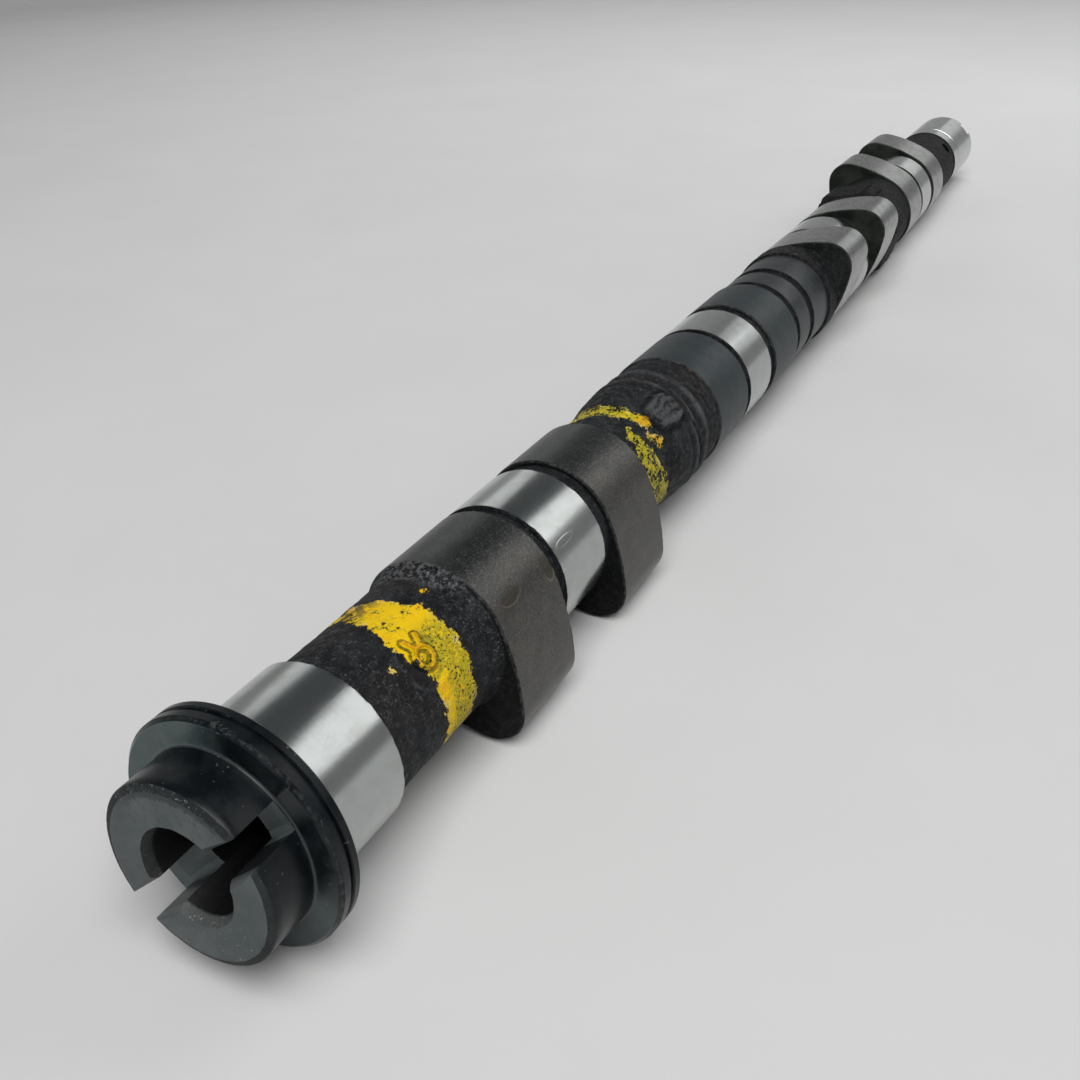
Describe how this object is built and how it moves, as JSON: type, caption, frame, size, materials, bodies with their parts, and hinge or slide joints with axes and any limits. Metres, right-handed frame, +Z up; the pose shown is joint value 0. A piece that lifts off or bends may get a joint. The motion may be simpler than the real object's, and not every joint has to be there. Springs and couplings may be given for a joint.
{
  "type": "camshaft",
  "caption": "One-piece cast iron camshaft with ground cams and bearing journals, a thrust flange and a slotted drive end.",
  "frame": {"origin": "on the shaft's axis at the rear face of the thrust flange, where the front bearing journal starts", "axes": "+X along the axis towards the driven end, +Z up as the shaft lies on its cam noses, so the first cylinder's noses point to -Y and -Z"},
  "size_m": [0.4557, 0.0356, 0.0356],
  "materials": {
    "casting": "ground on the cams and journals, black as cast between them"
  },
  "bodies": {
    "root": {"camshaft": "casting"}
  },
  "joints": []
}
